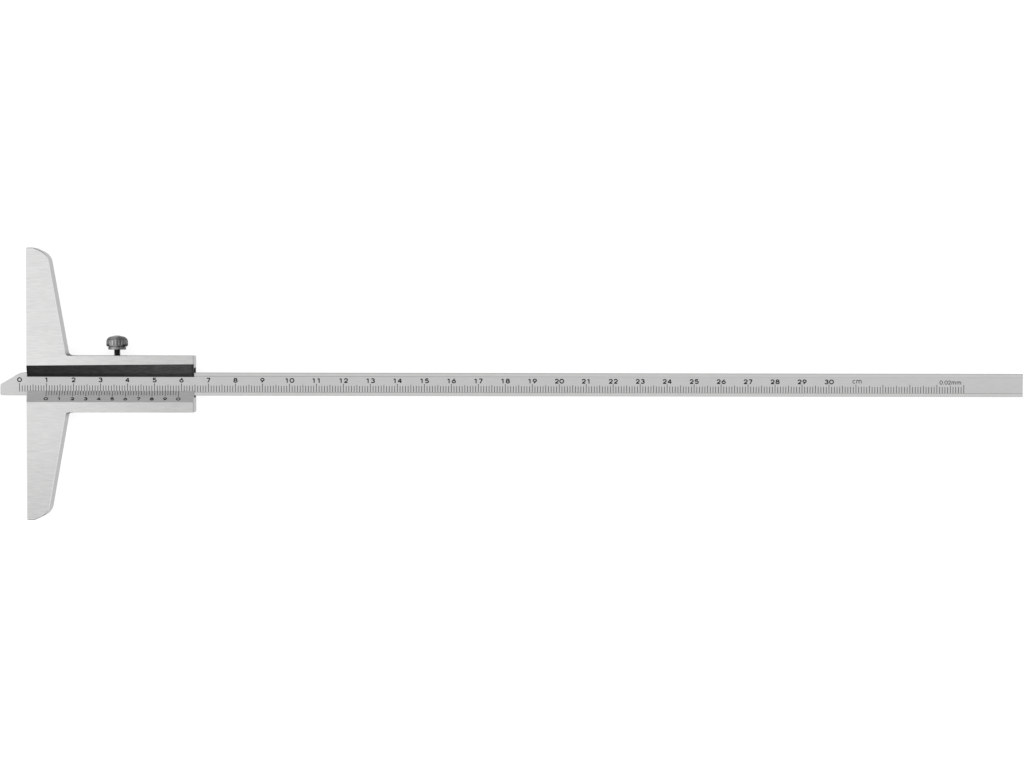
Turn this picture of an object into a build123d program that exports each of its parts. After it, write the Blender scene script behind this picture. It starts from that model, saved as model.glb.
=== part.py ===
from build123d import *
from math import radians, tan
import os

# A 0 to 300 mm vernier depth gauge, in millimetres, set to a reading of 10 mm.
# The origin is the centre of the measuring face. +X runs back along the beam, +Y up to the clamp
# screw, and +Z out of the graduated front, so that the gauge lies on its back.

# --- Frame: base arms and slider in one piece ---
base_length = 100.8
frame_thickness = 8.0
slider_length = 61.8
slider_width = 21.2
arm_root_depth = 14.6        # from the measuring face to the arm's back, beside the slider
arm_taper = 10.0             # degrees between the arm's back and the measuring face
arm_root_radius = 1.5
arm_end_flat = 2.8
arm_end_slope = 24.5         # degrees that the arm's end falls away behind its flat
arm_end_radius = 5.5
arm_flat_radius = 0.8
measuring_corner_radius = 0.4
slider_corner_radius = 0.5
frame_edge_break = 0.2

# --- Guide slot, window and bevels of the slider ---
back_wall = 2.15
slide_clearance = 0.05       # each side of the beam
spring_gap = 1.65            # beam's upper edge to the slot's wall
lip_edge = 0.25              # thickness left at the edge of each bevel
window_top = 2.67            # from the beam's centre line to the upper bevel's edge
window_bottom = 2.57         # and to the vernier bevel's edge
bevel_width = 4.4            # seen from the front
vernier_bevel_width = 4.1
relief_width = 1.6           # relief along the middle of the lower guide wall
relief_depth = 0.5

# --- Beam ---
beam_length = 379.0
beam_width = 8.5
beam_thickness = 4.0
rail_width = 1.3             # raised edge on each side of the scale field
field_recess = 0.1
tip_angle = 30.0             # degrees between the tip's slope and the beam's edge
tip_nose = 4.1               # width of the square end
tip_blend_radius = 6.0
tip_corner_radius = 0.8
beam_edge_break = 0.12
reading = 10.0               # how far the tip stands out of the measuring face

# --- Leaf spring ---
leaf_length = 48.0
leaf_width = 3.6
leaf_thickness = 0.25
leaf_rise = 0.3              # bow of the clamped leaf
leaf_tip_radius = 1.0
leaf_tip_turn = 40.0         # degrees that each end turns up
leaf_clearance = 0.03        # between the leaf and the beam
leaf_hole_clearance = 0.1    # round the pad's nose

# --- Clamp pad ---
clamp_position = 33.0        # from the measuring face to the clamp's axis
pad_diameter = 1.95
pad_length = 2.6
pad_chamfer = 0.15
pad_clearance = 0.05
pad_end_clearance = 0.02     # at the leaf and at the screw's tip
nose_diameter = 0.9
nose_length = 0.2
pad_bore_length = 1.4

# --- Clamp screw ---
thread_diameter = 2.5
thread_clearance = 0.05
tip_chamfer = 0.3
collar_gap = 2.15            # visible shank between the slider and the collar
collar_diameter = 6.6
collar_height = 1.1
head_diameter = 8.0
head_height = 4.15
head_chamfer = 0.5
head_shoulder = 2.1          # radius between the rim and the top
head_dome = 0.35             # rise of the top over the shoulder
knurl_count = 20
knurl_depth = 0.3

# --- Worked-out places ---
half_base = base_length / 2
half_slider = slider_width / 2
half_beam = beam_width / 2
frame_back = -frame_thickness / 2
frame_front = frame_thickness / 2
slot_floor = frame_back + back_wall
beam_back = slot_floor + slide_clearance
beam_front = beam_back + beam_thickness
slot_roof = beam_front + slide_clearance
slot_top = half_beam + spring_gap
slot_bottom = -half_beam - slide_clearance
beam_tip = -reading
leaf_seat = half_beam + leaf_clearance
leaf_crown = leaf_seat + leaf_rise + leaf_thickness
pad_seat = leaf_crown + pad_end_clearance
screw_tip = pad_seat + pad_length + pad_end_clearance
collar_seat = half_slider + collar_gap
head_seat = collar_seat + collar_height
clamp_plane = Plane(origin=(clamp_position, 0, 0), x_dir=(1, 0, 0), z_dir=(0, 1, 0))


def nearest(vertices, x, y):
    """The vertex of a sketch nearest to a point."""
    return vertices.sort_by_distance((x, y, 0))[0]


# ---------------------------------------------------------------- frame
arm_back = (arm_root_depth, half_slider)
arm_lean, end_fall = tan(radians(arm_taper)), tan(radians(arm_end_slope))
end_corner_x = (
    arm_root_depth - arm_lean * (half_base - half_slider + end_fall * arm_end_flat)
) / (1 - arm_lean * end_fall)
end_corner = (end_corner_x, half_base - end_fall * (end_corner_x - arm_end_flat))

with BuildPart() as frame_body:
    with BuildSketch(Plane.XY.offset(frame_back)) as outline:
        with BuildLine():
            Polyline(
                (0, 0),
                (0, half_base),
                (arm_end_flat, half_base),
                end_corner,
                arm_back,
                (slider_length, half_slider),
                (slider_length, 0),
                close=True,
            )
        make_face()
        fillet(nearest(outline.vertices(), 0, half_base), measuring_corner_radius)
        fillet(nearest(outline.vertices(), arm_end_flat, half_base), arm_flat_radius)
        fillet(nearest(outline.vertices(), *end_corner), arm_end_radius)
        fillet(nearest(outline.vertices(), *arm_back), arm_root_radius)
        fillet(nearest(outline.vertices(), slider_length, half_slider), slider_corner_radius)
        mirror(about=Plane.XZ)
    extrude(amount=frame_thickness)
    chamfer(
        frame_body.edges().group_by(Axis.Z)[0] + frame_body.edges().group_by(Axis.Z)[-1],
        frame_edge_break,
    )
    # the guide slot, its relief and the bevelled window, right through the slider
    with BuildSketch(Plane.YZ) as slot:
        with BuildLine():
            Polyline(
                (slot_bottom, slot_floor),
                (slot_top, slot_floor),
                (slot_top, slot_roof),
                (window_top, slot_roof),
                (window_top, slot_roof + lip_edge),
                (window_top + bevel_width, frame_front),
                (-window_bottom - vernier_bevel_width, frame_front),
                (-window_bottom, slot_roof + lip_edge),
                (-window_bottom, slot_roof),
                (slot_bottom, slot_roof),
                close=True,
            )
        make_face()
        with Locations((slot_bottom, (slot_floor + slot_roof) / 2)):
            Rectangle(2 * relief_depth, relief_width)
    extrude(amount=slider_length, mode=Mode.SUBTRACT)
    # the tapped hole, with a smaller bore for the pad at its foot
    with Locations(clamp_plane.offset(half_slider)):
        CounterBoreHole(
            radius=pad_diameter / 2 + pad_clearance,
            counter_bore_radius=thread_diameter / 2 + thread_clearance,
            counter_bore_depth=half_slider - slot_top - pad_bore_length,
            depth=half_slider - slot_top,
        )
frame_body.part.label = "frame_body"

# ---------------------------------------------------------------- beam
beam_end = beam_tip + beam_length
slope_top = (beam_tip + (beam_width - tip_nose) / tan(radians(tip_angle)), half_beam)
nose_top = (beam_tip, tip_nose - half_beam)

with BuildPart() as beam:
    with BuildSketch(Plane.XY.offset(beam_back)) as bar:
        with BuildLine():
            Polyline(
                (beam_tip, -half_beam),
                (beam_end, -half_beam),
                (beam_end, half_beam),
                slope_top,
                nose_top,
                close=True,
            )
        make_face()
        fillet(nearest(bar.vertices(), *slope_top), tip_blend_radius)
        fillet(nearest(bar.vertices(), *nose_top), tip_corner_radius)
        fillet(nearest(bar.vertices(), beam_tip, -half_beam), tip_corner_radius)
    extrude(amount=beam_thickness)
    chamfer(
        beam.edges().group_by(Axis.Z)[0] + beam.edges().group_by(Axis.Z)[-1],
        beam_edge_break,
    )
    # the scale field, sunk between the rails
    with BuildSketch(Plane.XY.offset(beam_front)):
        with Locations((beam_tip + beam_length / 2, 0)):
            Rectangle(beam_length, beam_width - 2 * rail_width)
    extrude(amount=-field_recess, mode=Mode.SUBTRACT)
beam.part.label = "beam"

# ---------------------------------------------------------------- leaf spring
leaf_middle = leaf_seat + leaf_thickness / 2
leaf_bow_start = (clamp_position - leaf_length / 2, leaf_middle)
leaf_bow_top = (clamp_position, leaf_middle + leaf_rise)
leaf_bow_end = (clamp_position + leaf_length / 2, leaf_middle)

with BuildPart() as leaf_spring:
    with BuildSketch(Plane.XY.offset(-leaf_width / 2)):
        with BuildLine() as leaf_line:
            bow = ThreePointArc(leaf_bow_start, leaf_bow_top, leaf_bow_end)
            JernArc(bow @ 1, bow % 1, leaf_tip_radius, leaf_tip_turn)
            JernArc(bow @ 0, -(bow % 0), leaf_tip_radius, -leaf_tip_turn)
        trace(line_width=leaf_thickness)
    extrude(amount=leaf_width)
    # the hole that the pad's nose stands in
    with Locations(clamp_plane.offset(leaf_crown)):
        Hole(radius=nose_diameter / 2 + leaf_hole_clearance, depth=2 * leaf_thickness)
leaf_spring.part.label = "leaf_spring"

# ---------------------------------------------------------------- clamp pad
with BuildPart() as clamp_pad:
    with BuildSketch(clamp_plane.offset(pad_seat)):
        Circle(pad_diameter / 2)
    extrude(amount=pad_length)
    chamfer(clamp_pad.edges().group_by(Axis.Y)[-1], pad_chamfer)
    with BuildSketch(clamp_plane.offset(pad_seat)):
        Circle(nose_diameter / 2)
    extrude(amount=-nose_length)
clamp_pad.part.label = "clamp_pad"

# ---------------------------------------------------------------- clamp screw
shank_radius = thread_diameter / 2
collar_radius = collar_diameter / 2
head_radius = head_diameter / 2
head_top = head_seat + head_height
shoulder_foot = (head_radius, head_top - head_dome - head_shoulder)
shoulder_top = (head_radius - head_shoulder, head_top - head_dome)

with BuildPart() as clamp_screw:
    with BuildSketch(Plane.XY.shift_origin((clamp_position, 0, 0))):
        with BuildLine():
            Polyline(
                (0, head_top),
                (0, screw_tip),
                (shank_radius - tip_chamfer, screw_tip),
                (shank_radius, screw_tip + tip_chamfer),
                (shank_radius, collar_seat),
                (collar_radius, collar_seat),
                (collar_radius, head_seat),
                (head_radius - head_chamfer, head_seat),
                (head_radius, head_seat + head_chamfer),
                shoulder_foot,
            )
            TangentArc(shoulder_foot, shoulder_top, tangent=(0, 1))
            TangentArc((0, head_top), shoulder_top, tangent=(1, 0))
        make_face()
    revolve(axis=Axis((clamp_position, 0, 0), (0, 1, 0)))
    # straight knurling round the rim, with a land, not a groove, on the head's widest lines
    with BuildSketch(clamp_plane.offset(head_seat)):
        with PolarLocations(head_radius, knurl_count, start_angle=180 / knurl_count):
            RegularPolygon(radius=knurl_depth, side_count=4)
    extrude(amount=head_height, mode=Mode.SUBTRACT)
clamp_screw.part.label = "clamp_screw"

# ---------------------------------------------------------------- files
os.makedirs("parts", exist_ok=True)
export_step(frame_body.part, "parts/frame_body.step")
export_step(beam.part, "parts/beam.step")
export_step(leaf_spring.part, "parts/leaf_spring.step")
export_step(clamp_pad.part, "parts/clamp_pad.step")
export_step(clamp_screw.part, "parts/clamp_screw.step")
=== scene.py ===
"""Dresses a 0 to 300 mm vernier depth gauge and sets it on white, seen square on from its graduated front.

Everything stands in the model's own frame, in metres: the origin is the centre of the measuring face, +X runs
back along the beam, +Y up to the clamp screw and +Z out of the graduated front. The sizes below are in
millimetres, as an instrument maker writes them.
"""

import logging
import math
from dataclasses import dataclass
from enum import Enum
from typing import Any, Callable, Sequence

import bmesh
import bpy
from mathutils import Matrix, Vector


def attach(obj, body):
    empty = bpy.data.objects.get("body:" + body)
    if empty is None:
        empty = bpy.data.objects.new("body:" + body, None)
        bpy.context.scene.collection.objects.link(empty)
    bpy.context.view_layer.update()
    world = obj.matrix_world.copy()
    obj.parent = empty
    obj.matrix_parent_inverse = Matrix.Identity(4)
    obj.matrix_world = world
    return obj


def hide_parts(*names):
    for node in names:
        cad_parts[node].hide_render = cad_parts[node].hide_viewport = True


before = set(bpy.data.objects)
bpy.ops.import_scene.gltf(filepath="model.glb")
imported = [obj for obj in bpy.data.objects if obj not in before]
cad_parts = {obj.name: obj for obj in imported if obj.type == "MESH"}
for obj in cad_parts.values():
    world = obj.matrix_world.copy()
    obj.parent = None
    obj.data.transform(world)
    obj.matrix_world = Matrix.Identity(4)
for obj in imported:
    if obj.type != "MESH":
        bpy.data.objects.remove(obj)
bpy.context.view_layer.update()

Pair = tuple[float, float]
Triple = tuple[float, float, float]

MM = 0.001
# Points this near to each other are one point, in millimetres.
WELD = 0.0005
# A mask reaches this far past its face, in millimetres, so that rounding leaves no gap.
HAIR = 0.01
# A point this near to a bevel or an end wall counts as on it, in millimetres.
NEAR = 0.05

log = logging.getLogger("depth_gauge")


# ---- greys
def tone(level: float) -> float:
    """Turn a grey as it shows on a screen into the linear value that a shader takes.

    Args:
        level: The grey on a screen, from 0 to 255.

    Returns:
        The same grey in linear light, from 0 to 1.
    """
    share = level / 255
    return share / 12.92 if share <= 0.04045 else ((share + 0.055) / 1.055) ** 2.4


def grey(level: float) -> tuple[float, float, float, float]:
    """Give a linear grey as a colour that a socket takes."""
    return level, level, level, 1.0


# ---- shaders
def operation(kind: str, swapped: bool = False) -> Callable[["Signal", "Signal | float"], "Signal"]:
    """Make the method of Signal that adds one Math node.

    Args:
        kind: Blender's name of the operation.
        swapped: Whether the other value comes first.

    Returns:
        The method.
    """

    def method(self: "Signal", other: "Signal | float" = 0.0) -> "Signal":
        """Add the node for this value and the other."""
        first, second = (other, self) if swapped else (self, other)
        return self.bench.node("ShaderNodeMath", {"operation": kind}, {0: first, 1: second})

    return method


class Signal:
    """A value that changes over a surface, used in sums as they are written on paper.

    A comparison gives 1 where it holds and 0 elsewhere.
    """

    __add__ = __radd__ = operation("ADD")
    __sub__ = operation("SUBTRACT")
    __rsub__ = operation("SUBTRACT", swapped=True)
    __mul__ = __rmul__ = operation("MULTIPLY")
    __pow__ = operation("POWER")
    __abs__ = operation("ABSOLUTE")
    __lt__ = operation("LESS_THAN")
    __gt__ = operation("GREATER_THAN")

    def __init__(self, bench: "ShaderBench", socket: bpy.types.NodeSocket) -> None:
        """Wrap an output socket.

        Args:
            bench: The material's nodes, where the sums are added.
            socket: The output socket that carries the value.
        """
        self.bench = bench
        self.socket = socket

    def ramp(self, low: float, high: float) -> "Signal":
        """Rise smoothly from 0 to 1 between two values.

        Args:
            low: The value that gives 0.
            high: The value that gives 1. It may be the smaller one, for a fall.

        Returns:
            The smooth step.
        """
        return self.bench.node(
            "ShaderNodeMapRange",
            {"interpolation_type": "SMOOTHSTEP"},
            {"Value": self, "From Min": low, "From Max": high},
        )


class ShaderBench:
    """The nodes of one material or of the room, with what every finish of this gauge starts from."""

    def __init__(self, owner: bpy.types.Material | bpy.types.World) -> None:
        """Start with an empty node tree.

        Args:
            owner: The material or world that the nodes belong to.
        """
        owner.use_nodes = True
        self.owner = owner
        self.tree = owner.node_tree
        self.tree.nodes.clear()

    @classmethod
    def of(cls, name: str) -> "ShaderBench":
        """Start a new material of this name."""
        return cls(bpy.data.materials.new(name))

    def node(
        self,
        kind: str,
        settings: dict[str, Any] | None = None,
        inputs: dict[str | int, Any] | None = None,
        output: str | int = 0,
    ) -> Signal:
        """Add a node: its settings first, then its sockets.

        Args:
            kind: Blender's name of the node type.
            settings: The node's own properties.
            inputs: What each input socket gets, by name or number: a plain value or a Signal to link.
            output: The output socket that is handed back.

        Returns:
            The chosen output.
        """
        made = self.tree.nodes.new(kind)
        for key, value in (settings or {}).items():
            setattr(made, key, value)
        for key, value in (inputs or {}).items():
            if isinstance(value, Signal):
                self.tree.links.new(value.socket, made.inputs[key])
            else:
                made.inputs[key].default_value = value
        return Signal(self, made.outputs[output] if made.outputs else None)

    def axes(self) -> tuple[Signal, ...]:
        """Read the place on the surface.

        Returns:
            Its X, Y and Z, in millimetres.
        """
        place = self.node("ShaderNodeTexCoord", output="Object")
        scaled = self.node("ShaderNodeMapping", None, {"Vector": place, "Scale": (1 / MM,) * 3})
        split = self.node("ShaderNodeSeparateXYZ", None, {"Vector": scaled})
        return tuple(Signal(self, output) for output in split.socket.node.outputs)

    def noise(self, size: Triple, detail: float = 2.0, seed: float = 0.0) -> Signal:
        """Give a cloudy pattern, about 0.5 in the middle, that may be drawn out along an axis.

        Args:
            size: How long one cloud is along X, Y and Z, in millimetres.
            detail: How many finer layers it has.
            seed: Moves the pattern by so many clouds, so that two of one size differ.

        Returns:
            The pattern.
        """
        stretched = self.node(
            "ShaderNodeMapping",
            None,
            {
                "Vector": self.node("ShaderNodeTexCoord", output="Object"),
                "Location": (seed, seed, seed),
                "Scale": tuple(1 / (MM * length) for length in size),
            },
        )
        return self.node("ShaderNodeTexNoise", None, {"Vector": stretched, "Scale": 1.0, "Detail": detail})

    def bumped(self, height: Signal, depth: float) -> Signal:
        """Turn a pattern into a relief.

        Args:
            height: The pattern.
            depth: How high 1 stands over 0, in millimetres.

        Returns:
            The normal.
        """
        return self.node("ShaderNodeBump", None, {"Height": height, "Distance": depth * MM, "Strength": 1.0})

    def coat(
        self,
        shade: Signal,
        tint: Triple,
        roughness: Signal,
        normal: Signal | None = None,
        metallic: float = 1.0,
        gloss: float = 0.5,
    ) -> Signal:
        """Give a surface of one colour in many brightnesses.

        Args:
            shade: The brightness, from 0 to 1.
            tint: The colour at full brightness.
            roughness: From 0, polished, to 1, matt.
            normal: The relief, where there is one.
            metallic: 1 for bare metal and 0 for a coating.
            gloss: How strongly a coating reflects.

        Returns:
            The shader.
        """
        ends = {0: shade, 6: grey(0.0), 7: (*tint, 1.0)}
        colour = self.node("ShaderNodeMix", {"data_type": "RGBA"}, ends, output=2)
        sockets = {"Base Color": colour, "Metallic": metallic, "Roughness": roughness}
        sockets["Specular IOR Level"] = gloss
        if normal is not None:
            sockets["Normal"] = normal
        return self.node("ShaderNodeBsdfPrincipled", None, sockets)

    def finish(self, surface: Signal) -> bpy.types.Material:
        """Connect the surface and hand the material over."""
        self.node("ShaderNodeOutputMaterial", None, {"Surface": surface})
        return self.owner


def choose(mask: Signal, inside: Signal | float, outside: Signal | float) -> Signal:
    """Pick one of two values by a mask.

    Args:
        mask: 1 where the first value holds, 0 where the second does.
        inside: The first value.
        outside: The second value.

    Returns:
        The value over the whole surface.
    """
    return outside + mask * (inside - outside)


def either(*masks: Signal) -> Signal:
    """Mark all that at least one of some masks marks."""
    return sum(masks[1:], masks[0]) > 0.5


# ---- finishes
@dataclass(frozen=True)
class Grain:
    """The fine parallel lines that grinding leaves on steel, along X, or along Y on walls that face X.

    The lines are the scratches, the bands are where they bunch up, and the drift is the slow change from one
    end of a pass to the other. Each has its length along the pass, across it and through it, in millimetres,
    and the share by which it changes the brightness.
    """

    line: Triple = (4.0, 0.09, 0.09)
    band: Triple = (3.2, 0.42, 0.42)
    drift: Triple = (26.0, 5.0, 5.0)
    line_share: float = 0.14
    band_share: float = 0.26
    drift_share: float = 0.07
    depth: float = 0.0016
    roughness: float = 0.3
    roughness_swing: float = 0.12

    @staticmethod
    def layer(bench: ShaderBench, size: Triple, seed: float, turned: Signal | None) -> Signal:
        """Give one layer of the grain, about 0.

        Args:
            bench: The material's nodes.
            size: How long a mark is along the pass, across it and through it, in millimetres.
            seed: Moves the layer, so that two of one size differ.
            turned: 1 where the pass ran along Y, or nothing where it ran along X everywhere.

        Returns:
            The layer.
        """
        marks = bench.noise(size, seed=seed)
        if turned is not None:
            along, across, through = size
            marks = choose(turned, bench.noise((across, along, through), seed=seed), marks)
        return marks - 0.5

    def coat(self, bench: ShaderBench, shade: Signal, tint: Triple, turned: Signal | None = None) -> Signal:
        """Give the ground metal.

        Args:
            bench: The material's nodes.
            shade: The brightness before grinding, from 0 to 1.
            tint: The colour at full brightness.
            turned: 1 where the pass ran along Y.

        Returns:
            The shader.
        """
        lines = self.layer(bench, self.line, 0.0, turned) * self.line_share
        bands = self.layer(bench, self.band, 3.0, turned) * self.band_share
        drift = self.layer(bench, self.drift, 7.0, turned) * self.drift_share
        roughness = self.roughness + self.layer(bench, self.band, 11.0, turned) * self.roughness_swing
        return bench.coat(shade * (1 + lines + bands + drift), tint, roughness, self.relief(bench, turned))

    def relief(self, bench: ShaderBench, turned: Signal | None = None) -> Signal:
        """Give the normal that the scratches bend."""
        return bench.bumped(self.layer(bench, self.line, 17.0, turned), self.depth)


@dataclass(frozen=True)
class Blackening:
    """The streaked dull black of the upper bevel, darker at its two ends, with painted shade along its foot
    and a painted reflection that lightens it towards the far end.

    The levels are greys as they show on a screen. A fade is the two distances, in millimetres from the end or
    the foot, between which the black turns darker by a share.
    """

    # painted reflection: the black lightens from near to far
    near: float = 40
    far: float = 68
    streak: Triple = (2.6, 0.45, 0.45)
    streak_share: float = 1.7
    near_end_fade: Pair = (1.6, 0.2)
    near_end_share: float = 0.6
    far_end_fade: Pair = (1.2, 0.0)
    far_end_share: float = 0.4
    # painted shade along the bevel's foot
    foot_fade: Pair = (1.7, 0.7)
    foot_share: float = 0.5
    sheen: Triple = (4.0, 0.3, 0.3)
    roughness: float = 0.45
    roughness_swing: float = 0.2
    gloss: float = 0.1

    def coat(self, slider: "BaseAndSlider", x: Signal, y: Signal, relief: Signal) -> Signal:
        """Give the surface.

        Args:
            slider: The frame, for its length and the place of its bevel.
            x: The place along the beam, in millimetres.
            y: The place across it.
            relief: The normal of the ground steel below.

        Returns:
            The shader.
        """
        bench = x.bench
        streaks = 1 + (bench.noise(self.streak, detail=4.0, seed=23.0) - 0.5) * self.streak_share
        # painted reflection that lightens the black towards the far end
        shade = choose(x.ramp(0.0, slider.length), tone(self.far), tone(self.near)) * streaks
        shade = shade * choose(x.ramp(*self.near_end_fade), self.near_end_share, 1.0)
        shade = shade * choose((slider.length - x).ramp(*self.far_end_fade), self.far_end_share, 1.0)
        # painted shade along the foot
        shade = shade * choose((y - slider.window_top).ramp(*self.foot_fade), self.foot_share, 1.0)
        roughness = self.roughness + (bench.noise(self.sheen, seed=29.0) - 0.5) * self.roughness_swing
        return bench.coat(shade, (1.0, 1.0, 1.0), roughness, relief, metallic=0.0, gloss=self.gloss)


@dataclass(frozen=True)
class FrameSteel:
    """Base and slider: ground and satin chromed steel, with a blackened upper bevel and a darker grey vernier
    bevel.

    The levels are greys as they show on a screen. Many of them are painted light and shade: the darker lower
    half, arms and far end, the darker walls, the bright and dark edges, the slot and the inner corners. A
    fade is the two places, in millimetres, between which one grey turns into the next.
    """

    # painted light and shade: the ground faces are lightest near the measuring face, darker on the upper arm,
    # the lower half, the lower arm and towards the slider's far end
    front: float = 221
    arm: float = 218
    arm_fade: Pair = (11.0, 20.0)
    lower_front: float = 213
    lower_fade: Pair = (4.0, -7.0)
    lower_arm: float = 201
    lower_arm_fade: Pair = (-12.0, -50.0)
    far_front: float = 196
    far_fade_start: float = 2.0
    # painted shade: the walls, seen sideways, are given a darker grey than the faces
    walls: float = 161
    # painted highlight on the broken edges, and painted shade on those round the arms' ends and along the
    # slider's top edge and end
    edges: float = 226
    end_edges: float = 90
    end_edge_fade: Pair = (46.1, 48.6)
    measuring_edge_fade: Pair = (0.1, 0.8)
    slider_edges: float = 176
    slider_edge_start: float = 16.6
    slider_end_edges: float = 140
    vernier_bevel: float = 160
    # painted shade inside the guide slot
    slot: float = 90
    tint: Triple = (1.0, 0.998, 0.992)
    grain: Grain = Grain()
    blackening: Blackening = Blackening()

    def edge_shade(self, slider: "BaseAndSlider", x: Signal, y: Signal) -> Signal:
        """Give the brightness of the broken edges: a painted highlight, with painted shade round the arms'
        ends and along the slider's top edge and end.

        Args:
            slider: The frame, for its length.
            x: The place along the beam, in millimetres.
            y: The place across it.

        Returns:
            The brightness.
        """
        on_arm_end = abs(y).ramp(*self.end_edge_fade) * x.ramp(*self.measuring_edge_fade)
        shade = choose(on_arm_end, tone(self.end_edges), tone(self.edges))
        shade = choose((x > self.slider_edge_start) * (y > 0), tone(self.slider_edges), shade)
        return choose(x > slider.length - slider.edge_break - HAIR, tone(self.slider_end_edges), shade)

    def material(self, slider: "BaseAndSlider") -> bpy.types.Material:
        """Make the material.

        Args:
            slider: The frame, for the places of its bevels and corners.

        Returns:
            The material.
        """
        bench = ShaderBench.of("ground_frame_steel")
        x, y, z = bench.axes()
        depth = slider.front - abs(z)
        wall = depth > slider.edge_break - HAIR
        edge = (depth > HAIR) * (1 - wall)
        vernier_bevel = slider.on_bevel(0 - y, z, slider.window_bottom, slider.vernier_bevel_width)

        # painted light and shade: the front is darker on the arms, on the lower half and towards the slider's
        # far end
        upper = choose(y.ramp(*self.arm_fade), tone(self.arm), tone(self.front))
        lower = choose(y.ramp(*self.lower_arm_fade), tone(self.lower_arm), tone(self.lower_front))
        shade = choose(y.ramp(*self.lower_fade), lower, upper)
        shade = choose(x.ramp(self.far_fade_start, slider.length), tone(self.far_front), shade)
        # painted shade on the walls
        shade = choose(wall, tone(self.walls), shade)
        shade = choose(edge, self.edge_shade(slider, x, y), shade)
        shade = choose(slider.in_slot(y, z), tone(self.slot), shade)
        shade = choose(vernier_bevel, tone(self.vernier_bevel), shade)
        steel = self.grain.coat(bench, shade, self.tint, wall * slider.faces_x(x, y))
        # the bevel's blackening, also put as painted shade in the inner corners and round the slot's mouth
        blackening_and_painted_shade = self.blackening.coat(slider, x, y, self.grain.relief(bench))
        corner = either(wall, edge) * slider.in_corner(x, y)
        black = either(slider.on_black(x, y, z), slider.in_mouth(x, y, z)) + corner
        return bench.finish(bench.node("ShaderNodeMixShader", None, {0: black, 1: steel, 2: blackening_and_painted_shade}))


@dataclass(frozen=True)
class BeamSteel:
    """Beam: satin chromed steel, with a slightly darker scale field between two rails.

    The levels are greys as they show on a screen. A fade is the two places along the beam, in millimetres,
    between which one grey turns into the next.
    """

    rails: float = 197
    field: float = 193
    nose: float = 202
    nose_fade: Pair = (3.0, -6.0)
    # painted shade: darker greys on the walls and on both broken edges, darkest on the upper edge
    walls: float = 176
    upper_edge: float = 105
    lower_edge: float = 160
    # painted shadow along each rail's step, fading out at the nose and, on the upper rail, towards the far
    # end
    step_line: float = 158
    step_line_width: float = 0.2
    step_line_fade: Pair = (-2.0, 2.0)
    worn_line: float = 0.3
    worn_line_fade: Pair = (120.0, 260.0)
    tint: Triple = (1.0, 0.999, 0.994)
    grain: Grain = Grain(line_share=0.1, band_share=0.14, drift_share=0.06)

    def material(self, beam: "GraduatedBeam") -> bpy.types.Material:
        """Make the material.

        Args:
            beam: The beam, for the places of its rails and its nose.

        Returns:
            The material.
        """
        bench = ShaderBench.of("satin_beam_steel")
        x, y, z = bench.axes()
        across = abs(y)
        half_thickness = beam.thickness / 2
        depth = half_thickness - abs(z - beam.front + half_thickness)
        field = (across < beam.rail_step) * (z > 0)
        wall = depth > beam.edge_break - HAIR
        edge = (depth > HAIR) * (1 - wall) * (across > beam.rail_step)
        # painted shadow line along the rail steps
        line = (z > beam.field - HAIR) * (abs(across - beam.rail_step) < self.step_line_width / 2)
        upper_step_fading = choose((y > 0) * x.ramp(*self.worn_line_fade), self.worn_line, 1.0)

        shade = choose(field, tone(self.field), tone(self.rails))
        shade = choose(x.ramp(*self.nose_fade), tone(self.nose), shade)
        shade = choose(wall, tone(self.walls), shade)
        shade = choose(edge, choose(y > 0, tone(self.upper_edge), tone(self.lower_edge)), shade)
        shade = choose(line * upper_step_fading * x.ramp(*self.step_line_fade), tone(self.step_line), shade)
        return bench.finish(self.grain.coat(bench, shade, self.tint))


@dataclass(frozen=True)
class LineEnamel:
    """The black filling of the engraved lines and figures, a little worn in places."""

    level: float = 14
    worn_level: float = 46
    patch: Triple = (0.9, 0.5, 0.5)
    worn_range: Pair = (0.52, 0.75)
    roughness: float = 0.5
    worn_roughness: float = 0.15
    gloss: float = 0.2

    def material(self) -> bpy.types.Material:
        """Make the material.

        Returns:
            The material.
        """
        bench = ShaderBench.of("black_line_filling")
        wear = bench.noise(self.patch, detail=3.0).ramp(*self.worn_range)
        shade = choose(wear, tone(self.worn_level), tone(self.level))
        roughness = self.roughness + wear * self.worn_roughness
        return bench.finish(bench.coat(shade, (1.0, 1.0, 1.0), roughness, metallic=0.0, gloss=self.gloss))


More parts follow.
